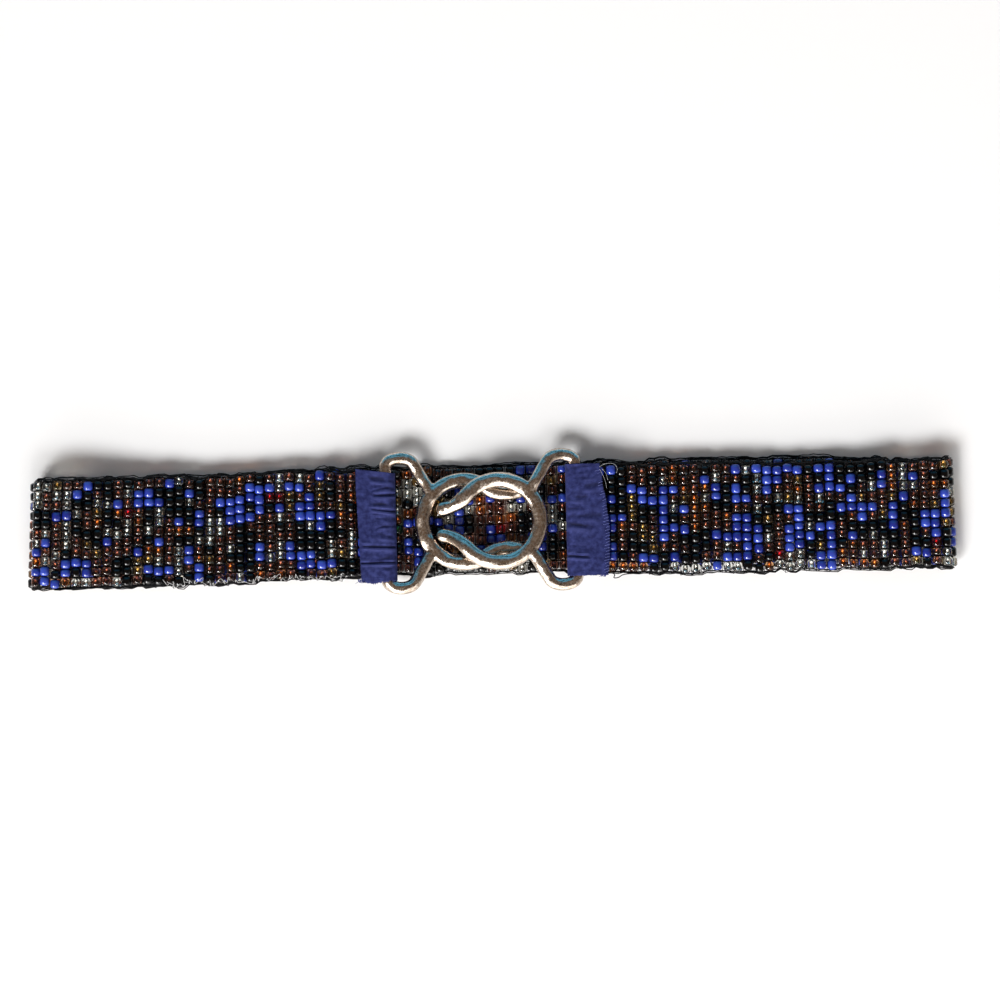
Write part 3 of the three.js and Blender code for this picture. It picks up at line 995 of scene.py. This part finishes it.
# A tab's main creases are given by place across, width, depth, start and end along the tab, all
# in millimetres, and slope. Its gathers are given from the near edge, -1, to the far edge, 1, as
# shares of the usual height and of the cloth's usual reach from the bar.
TABS = {
    "tab_left": {
        "end": "left",
        "seed": 3,
        "creases": 26,
        "depth": 0.24 * MM,
        "ragged": 0.9 * MM,
        "slant": 1.7 * MM,
        "tongue": 1.3 * MM,
        "main": [
            (-16.2, 0.5, 0.55, -3, 12, 0.0),
            (12.4, 0.7, 0.45, -4, 6, -0.05),
            (5.6, 0.6, 0.45, -4, 7, 0.12),
            (-9.6, 0.6, 0.45, -4, 11, 0.05),
        ],
        "gathers": {
            "at": [-1.0, -0.82, -0.6, -0.3, 0.0, 0.35, 0.7, 1.0],
            "rise": [0.0, 0.9, 0.1, 0.7, 0.2, 0.8, 0.1, 0.3],
            "reach": [0.89, 0.9, 0.91, 0.93, 0.96, 0.98, 1.0, 1.0],
        },
    },
    "tab_right": {
        "end": "right",
        "seed": 8,
        "creases": 20,
        "depth": 0.17 * MM,
        "ragged": 0.3 * MM,
        "slant": 0.0,
        "tongue": 0.0,
        "main": [
            (-15.4, 0.6, 0.55, -4, 6, -0.08),
            (13.6, 1.3, 0.24, 4, 14, 0.12),
            (1.6, 1.4, 0.2, -3, 12, 0.0),
        ],
        "gathers": {
            "at": [-1.0, -0.72, -0.5, -0.15, 0.3, 0.65, 1.0],
            "rise": [0.2, 1.0, 0.1, 0.5, 0.2, 0.6, 0.1],
            "reach": [1.04, 1.1, 1.12, 1.12, 1.04, 0.92, 0.84],
        },
    },
}
TAB_COLUMNS = 150
TAB_ROWS = 90

# The random creases, in millimetres, and their depths as shares of the tab's usual depth
CREASE = {"wide": (0.45, 1.5), "deep": (0.35, 1.0), "from": (-5, 1), "to": (2, 9), "slope": 0.12}
# A ridge stands at both sides of a crease: how high and how far off, beside its depth and width
RIDGE = {"high": 0.45, "off": 1.8}
# A crease this deep gets the full painted shade, and the paling of the crests by wear is measured
# against it too
CREASE_SHADE_DEPTH = 0.36 * MM

# The cut ends: how uneven the free edge is, where across the tab the near end starts to tear and
# the far end to slant, and where along the tab the tongue hangs
UNEVEN_EDGE = 0.1 * MM
TORN_FROM = 0.93
SLANT_FROM = 0.4
TONGUE_PLACE = 6 * MM
TONGUE_WIDTH = 3 * MM


def tab_middle(end):
    """How far across the belt the middle of an end's tab lies."""
    return BAND_WIDTH * read_table(SWAY, "front", end["way"] * end["bar"] / HALF_LENGTH)


def tab_profile(reach):
    """Side view of the cloth's middle surface, from the lower free edge round to the upper."""
    half = CLOTH_THICK / 2
    leaf, high, wide = LEAF_HEIGHT - half, POCKET_HEIGHT - half, POCKET_WIDTH - half
    angles = np.radians(np.linspace(-90, -270, TURN_STEPS))
    bend = np.column_stack([wide * np.cos(angles), high * np.sin(angles)])
    line = np.vstack([[reach, -leaf], bend, [reach, leaf]])
    length = lengths_along(line)
    at = np.linspace(0, length[-1], TAB_ROWS)
    return np.column_stack([np.interp(at, length, side) for side in line.T]), at


def crease_field(tab):
    """Narrow creases that run along the belt from the bar, as a function of place."""
    draw = np.random.default_rng(tab["seed"])
    creases = [(*(part * MM for part in given), slope) for *given, slope in tab["main"]]
    for _ in range(tab["creases"]):
        across = draw.uniform(-0.96, 0.96) * TAB_WIDTH / 2
        wide = draw.uniform(*CREASE["wide"]) * MM
        deep = draw.uniform(*CREASE["deep"]) * tab["depth"]
        start = draw.uniform(*CREASE["from"]) * MM
        stop = draw.uniform(*CREASE["to"]) * MM
        creases.append((across, wide, deep, start, stop, draw.normal(0, CREASE["slope"])))

    def depth(x, v):
        total = np.zeros(np.broadcast(x, v).shape)
        for across, wide, deep, start, stop, slope in creases:
            off = (v - across - slope * x) / wide
            valley = np.exp(-(off**2))
            valley -= RIDGE["high"] * np.exp(-((np.abs(off) - RIDGE["off"]) ** 2))
            run = ease(x, start - 1 * MM, start + 1 * MM) * (1 - ease(x, stop - 2 * MM, stop))
            total -= deep * run * valley
        return total

    return depth


def cloth_tab(name, tab):
    """The folded strip, with its creases, as one sheet with a thickness."""
    end = ENDS[tab["end"]]
    across = tab_middle(end)
    depth = crease_field(tab)
    draw = np.random.default_rng(tab["seed"] + 100)
    ragged = draw.normal(0, UNEVEN_EDGE, TAB_COLUMNS)
    torn = tab["ragged"] * draw.uniform(0, 1, TAB_ROWS)
    points, flat_places, crease_depths = [], [], []
    for k, share in enumerate(np.linspace(-1, 1, TAB_COLUMNS)):
        reach = TAB_REACH * read_table(tab["gathers"], "reach", share) + ragged[k]
        profile, along = tab_profile(reach)
        run = np.gradient(profile, axis=0)
        run /= np.linalg.norm(run, axis=1)[:, None]
        outward = np.column_stack([-run[:, 1], run[:, 0]])
        v = share * TAB_WIDTH / 2
        top = np.clip(profile[:, 1] / LEAF_HEIGHT, 0, 1)
        rise = GATHER_HEIGHT * read_table(tab["gathers"], "rise", share)
        push = depth(profile[:, 0], v) * ease(profile[:, 1], -1 * MM, 2 * MM)
        spots = profile + outward * push[:, None]
        spots[:, 1] += rise * top
        crease_depths.append(push)
        x = end["way"] * (end["bar"] + spots[:, 0])
        # The near cut end hangs out in a ragged tongue, and the far one slants towards the bar
        off = (profile[:, 0] - TONGUE_PLACE) / TONGUE_WIDTH
        tongue = tab["tongue"] * top * np.exp(-(off**2))
        y = across + v - (torn + tongue) * ease(-share, TORN_FROM, 1.0)
        y -= tab["slant"] * ease(share, SLANT_FROM, 1.0) * (1 - profile[:, 0] / TAB_REACH)
        points.append(np.column_stack([x, y, TAB_LEVEL + spots[:, 1]]))
        flat_places.append(np.column_stack([along, np.full(TAB_ROWS, v)]))
    corners = np.vstack(points)
    places = np.vstack(flat_places)
    faces = []
    for k in range(TAB_COLUMNS - 1):
        for row in range(TAB_ROWS - 1):
            a = k * TAB_ROWS + row
            faces.append((a, a + TAB_ROWS, a + TAB_ROWS + 1, a + 1))
    mesh = bpy.data.meshes.new(name)
    mesh.from_pydata(corners.tolist(), [], faces)
    layer = mesh.uv_layers.new(name="cut")
    order = np.zeros(len(mesh.loops), np.int32)
    mesh.loops.foreach_get("vertex_index", order)
    layer.data.foreach_set("uv", places[order].astype(np.float32).ravel())
    # The wear attribute holds each point's crease depth: the cloth's material paints shade into the
    # creases from it, and pales the crests as wear
    wear = mesh.attributes.new("wear", "FLOAT", "POINT")
    wear.data.foreach_set("value", (np.concatenate(crease_depths) / CREASE_SHADE_DEPTH).astype(np.float32))
    mesh.shade_smooth()
    made = bpy.data.objects.new(name, mesh)
    scene.collection.objects.link(made)
    wall = made.modifiers.new("wall", "SOLIDIFY")
    wall.thickness = CLOTH_THICK
    wall.offset = 0
    keep_modified(made)
    fix = bmesh.new()
    fix.from_mesh(made.data)
    bmesh.ops.recalc_face_normals(fix, faces=fix.faces)
    fix.to_mesh(made.data)
    fix.free()
    return made


def cotton():
    """Plain-woven cotton, dyed blue: matt, lighter where it is rubbed and on the creases' crests, with
    painted shade darkening the creases.
    """
    material, tree = new_material("plain woven blue cotton")
    # The real threads are 0.25 mm apart, too fine to show, so they are drawn at 0.5 mm
    thread = 0.5 * MM
    place = add(tree, "ShaderNodeUVMap", uv_map="cut")
    # A wave texture has 20 radians to a unit
    wave = {"Vector": place, "Scale": math.tau / thread / 20, "Distortion": 1.2}
    wave |= {"Detail": 1.0, "Detail Scale": 2.0}
    warps = add(tree, "ShaderNodeTexWave", wave, bands_direction="X").outputs["Fac"]
    wefts = add(tree, "ShaderNodeTexWave", wave, bands_direction="Y").outputs["Fac"]
    weave = add(tree, "ShaderNodeMath", {0: warps, 1: wefts}, operation="ADD")
    rub = add(tree, "ShaderNodeTexNoise", {"Vector": place, "Scale": 1 / (2.0 * MM), "Detail": 6.0})
    patch = add(tree, "ShaderNodeMapRange", {0: rub, 1: 0.38, 2: 0.72, 3: 0.0, 4: 1.0})
    rubbed = add(
        tree,
        "ShaderNodeMix",
        {0: patch, 6: srgb("#1C2256"), 7: srgb("#3A427C")},
        data_type="RGBA",
    )
    # Painted shade darkens the creases, and the dye wears off along the crests between them
    wear = add(tree, "ShaderNodeAttribute", attribute_name="wear")
    painted_crease_shade = add(tree, "ShaderNodeMapRange", {0: wear.outputs["Fac"], 1: -0.1, 2: -0.9, 3: 0, 4: 1})
    crest = add(tree, "ShaderNodeMapRange", {0: wear.outputs["Fac"], 1: 0.05, 2: 0.5, 3: 0, 4: 0.6})
    paled = add(
        tree,
        "ShaderNodeMix",
        {0: crest, 6: rubbed.outputs[2], 7: srgb("#474E86")},
        data_type="RGBA",
    )
    # The dark blue mixed in here is painted shade in the creases
    colour = add(
        tree,
        "ShaderNodeMix",
        {0: painted_crease_shade, 6: paled.outputs[2], 7: srgb("#141840")},
        data_type="RGBA",
    )
    bump = add(tree, "ShaderNodeBump", {"Height": weave, "Strength": 0.5, "Distance": 0.15 * MM})
    shader = add(
        tree,
        "ShaderNodeBsdfPrincipled",
        {
            "Base Color": colour.outputs[2],
            "Roughness": 0.85,
            "Sheen Weight": 0.25,
            "Sheen Roughness": 0.4,
            "Sheen Tint": srgb("#8A92D0"),
            "Normal": bump,
        },
    )
    add(tree, "ShaderNodeOutputMaterial", {"Surface": shader})
    return material


COTTON = cotton()
for node, tab in TABS.items():
    cloth = cloth_tab("cloth_" + node, tab)
    cloth.data.materials.clear()
    cloth.data.materials.append(COTTON)
    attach(cloth, "root")
    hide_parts(node)

# Stitches and frayed ends
# Pale blue sewing thread is whipped over the right tab's free edge. The cut ends of both tabs
# have come apart into single threads.
STITCH_PITCH = 1.25 * MM
STITCH_LENGTH = 1.8 * MM
STITCH_INSET = 0.5 * MM
STITCH_THICK = 0.26 * MM
# How deep a stitch may sink into the cloth, which happens towards the far end
STITCH_SUNK = 0.352 * MM
FRAY_THICK = 0.16 * MM
FRAY_DEPTH = 0.4 * MM
FRAYS = {
    "tab_left": {"from": -0.5, "to": 12.5, "count": 120, "length": 1.3},
    "tab_right": {"from": 9.5, "to": 12.0, "count": 30, "length": 0.9},
}


def on_tab(tab, share, inset, above):
    """A point over a tab's upper leaf, from its width share and its distance from the edge."""
    end = ENDS[tab["end"]]
    out = end["bar"] + TAB_REACH * read_table(tab["gathers"], "reach", share) - inset
    rise = GATHER_HEIGHT * read_table(tab["gathers"], "rise", share)
    height = TAB_LEVEL + LEAF_HEIGHT + rise + above
    return np.array([end["way"] * out, tab_middle(end) + share * TAB_WIDTH / 2, height])


def whip_stitches(tab):
    """Stitches that dip into the cloth and pass round its edge."""
    lines = []
    for v in np.arange(-0.96, 0.94, 2 * STITCH_PITCH / TAB_WIDTH):
        sunk = ease(v, -0.1, 0.4) * rng.uniform(0, STITCH_SUNK)
        ahead = rng.uniform(0.6, 1.2) * STITCH_PITCH / TAB_WIDTH * 2
        length = STITCH_LENGTH * rng.uniform(0.5, 1.3)
        points = [
            on_tab(tab, v, STITCH_INSET + length, -0.25 * MM),
            on_tab(tab, v + 0.1 * ahead, STITCH_INSET + 0.7 * length, 0.14 * MM - sunk),
            on_tab(tab, v + 0.35 * ahead, STITCH_INSET + 0.2 * length, 0.1 * MM - sunk),
            on_tab(tab, v + 0.5 * ahead, 0, -sunk),
            on_tab(tab, v + 0.5 * ahead, -0.1 * MM, -1.0 * MM),
        ]
        lines.append(smooth_line(points, 4))
    return lines


def frayed_ends(tab, spec):
    """Short threads that hang out of the near cut end."""
    end = ENDS[tab["end"]]
    near = tab_middle(end) - TAB_WIDTH / 2
    lines = []
    for _ in range(spec["count"]):
        out = end["bar"] + rng.uniform(spec["from"], spec["to"]) * MM
        start = np.array([end["way"] * out, near, TAB_LEVEL + LEAF_HEIGHT - FRAY_DEPTH])
        length = spec["length"] * MM * rng.uniform(0.3, 1.0)
        sideways = rng.normal(0, 0.5) * length
        points = [
            start + [0, 0.5 * MM, 0],
            start + [0.2 * sideways, -0.4 * length, -0.05 * length],
            start + [sideways, -length, -rng.uniform(0.1, 0.7) * length],
        ]
        lines.append(smooth_line(points, 3))
    return lines


PALE_THREAD = nylon("pale blue sewing thread", "#353D7C", "#8088C0", 0.5 * MM)
BLUE_FIBRE = nylon("loose blue cotton thread", "#1E265C", "#3A448A", 0.4 * MM)
stitches = whip_stitches(TABS["tab_right"])
frays = {node: frayed_ends(TABS[node], spec) for node, spec in FRAYS.items()}
for node, name, lines, thick, fibre in (
    ("tab_right", "whip_stitches", stitches, STITCH_THICK, PALE_THREAD),
    ("tab_left", "frays_left", frays["tab_left"], FRAY_THICK, BLUE_FIBRE),
    ("tab_right", "frays_right", frays["tab_right"], FRAY_THICK, BLUE_FIBRE),
):
    threads = lay_threads(name, lines, thick, fibre)
    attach(threads, "root")
    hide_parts(node)

# Table and light
# A plain white table top, lit by a bright soft light from the belt's near side. The room above is
# a warm dim grey, with pale sky light from the far side, which the metal shows.
FLOOR_SIZE = 14.0
KEY_FROM = Vector((-0.78, -0.95, 1.05)).normalized()
KEY_ANGLE = math.radians(22)
KEY_POWER = 1.8

# Bright panels at the near side, by bearing from straight ahead, and their power
PANELS = [{"bearing": -25, "power": 6.0}, {"bearing": 12, "power": 4.0}]
PANEL_SIZE = (1.1, 0.45)
PANEL_AWAY = 1.5
PANEL_HEIGHT = math.radians(44)

floor_mesh = bpy.data.meshes.new("table_top")
corner = FLOOR_SIZE / 2
floor_mesh.from_pydata(
    [(-corner, -corner, 0), (corner, -corner, 0), (corner, corner, 0), (-corner, corner, 0)],
    [],
    [(0, 1, 2, 3)],
)
floor = bpy.data.objects.new("table_top", floor_mesh)
scene.collection.objects.link(floor)
paint, paint_tree = new_material("matt white table top")
paint_shader = add(
    paint_tree, "ShaderNodeBsdfPrincipled", {"Base Color": srgb("#F6F6F6"), "Roughness": 0.7}
)
add(paint_tree, "ShaderNodeOutputMaterial", {"Surface": paint_shader})
floor_mesh.materials.append(paint)

key_data = bpy.data.lights.new("key", "SUN")
key_data.energy = KEY_POWER
key_data.angle = KEY_ANGLE
key = bpy.data.objects.new("key", key_data)
key.rotation_euler = KEY_FROM.to_track_quat("Z", "Y").to_euler()
scene.collection.objects.link(key)

for spec in PANELS:
    panel_data = bpy.data.lights.new("panel", "AREA")
    panel_data.shape = "RECTANGLE"
    panel_data.size, panel_data.size_y = PANEL_SIZE
    panel_data.energy = spec["power"]
    panel = bpy.data.objects.new("panel", panel_data)
    bearing = math.radians(spec["bearing"])
    level = math.cos(PANEL_HEIGHT)
    ray = Vector((level * math.sin(bearing), -level * math.cos(bearing), math.sin(PANEL_HEIGHT)))
    panel.location = ray * PANEL_AWAY
    panel.rotation_euler = ray.to_track_quat("Z", "Y").to_euler()
    scene.collection.objects.link(panel)

world = bpy.data.worlds.new("room")
scene.world = world
world.use_nodes = True
sky = world.node_tree
sky.nodes.clear()
direction = add(sky, "ShaderNodeTexCoord")
parts = add(sky, "ShaderNodeSeparateXYZ", {0: direction.outputs["Generated"]})


def bands(height, stops):
    """Colours by height above the horizon, from 0 to 1 overhead."""
    ramp = add(sky, "ShaderNodeValToRGB", {0: height})
    elements = ramp.color_ramp.elements
    while len(elements) < len(stops):
        elements.new(0.5)
    for element, (at, colour) in zip(elements, stops):
        element.position = at
        element.color = (*colour, 1)
    return ramp.outputs[0]


DIM = (0.035, 0.03, 0.027)
OVERHEAD = (0.26, 0.205, 0.165)
SKY_BLUE = (0.17, 0.58, 0.92)
walls = bands(
    parts.outputs["Z"],
    [
        (0.0, (0.2, 0.18, 0.17)),
        (0.4, (0.15, 0.12, 0.1)),
        (0.6, (0.36, 0.31, 0.27)),
        (0.68, DIM),
        (0.8, (0.11, 0.085, 0.07)),
        (0.86, (0.34, 0.27, 0.22)),
        (0.92, (0.11, 0.085, 0.07)),
        (1.0, OVERHEAD),
    ],
)
window = bands(
    parts.outputs["Z"],
    [
        (0.02, DIM),
        (0.08, SKY_BLUE),
        (0.44, SKY_BLUE),
        (0.48, DIM),
        (0.62, DIM),
        (0.66, SKY_BLUE),
        (0.84, SKY_BLUE),
        (0.88, DIM),
        (0.95, OVERHEAD),
    ],
)
# The window is small, so matt surfaces get a plain grey light from its side
GREY = (0.27, 0.33, 0.38)
path = add(sky, "ShaderNodeLightPath")
far_light = add(
    sky,
    "ShaderNodeMix",
    {0: path.outputs["Is Diffuse Ray"], 6: window, 7: (*GREY, 1)},
    data_type="RGBA",
)
far_side = add(sky, "ShaderNodeMapRange", {0: parts.outputs["Y"], 1: 0.4, 2: 0.5, 3: 0, 4: 1})
whole = add(sky, "ShaderNodeMix", {0: far_side, 6: walls, 7: far_light.outputs[2]}, data_type="RGBA")
# A low white screen stands round the near side, and is dimmer towards the right
SCREEN = (3.4, 3.3, 3.2)
screen = bands(
    parts.outputs["Z"],
    [
        (0.02, DIM),
        (0.08, SCREEN),
        (0.34, SCREEN),
        (0.46, (1.3, 1.2, 1.1)),
        (0.6, (0.42, 0.37, 0.33)),
        (0.74, DIM),
    ],
)
near_side = add(sky, "ShaderNodeMapRange", {0: parts.outputs["Y"], 1: -0.15, 2: -0.7, 3: 0, 4: 1})
rightward = add(sky, "ShaderNodeMapRange", {0: parts.outputs["X"], 1: 0.1, 2: 0.7, 3: 1, 4: 0.25})
leftward = add(sky, "ShaderNodeMapRange", {0: parts.outputs["X"], 1: -0.4, 2: -0.7, 3: 1, 4: 0.2})
sides = add(sky, "ShaderNodeMath", {0: rightward, 1: leftward}, operation="MULTIPLY")
shown = add(sky, "ShaderNodeMath", {0: near_side, 1: sides}, operation="MULTIPLY")
all_round = add(sky, "ShaderNodeMix", {0: shown, 6: whole.outputs[2], 7: screen}, data_type="RGBA")
background = add(sky, "ShaderNodeBackground", {"Color": all_round.outputs[2], "Strength": 1.0})
add(sky, "ShaderNodeOutputWorld", {"Surface": background})

scene.view_settings.view_transform = "Standard"
scene.view_settings.look = "Medium High Contrast"
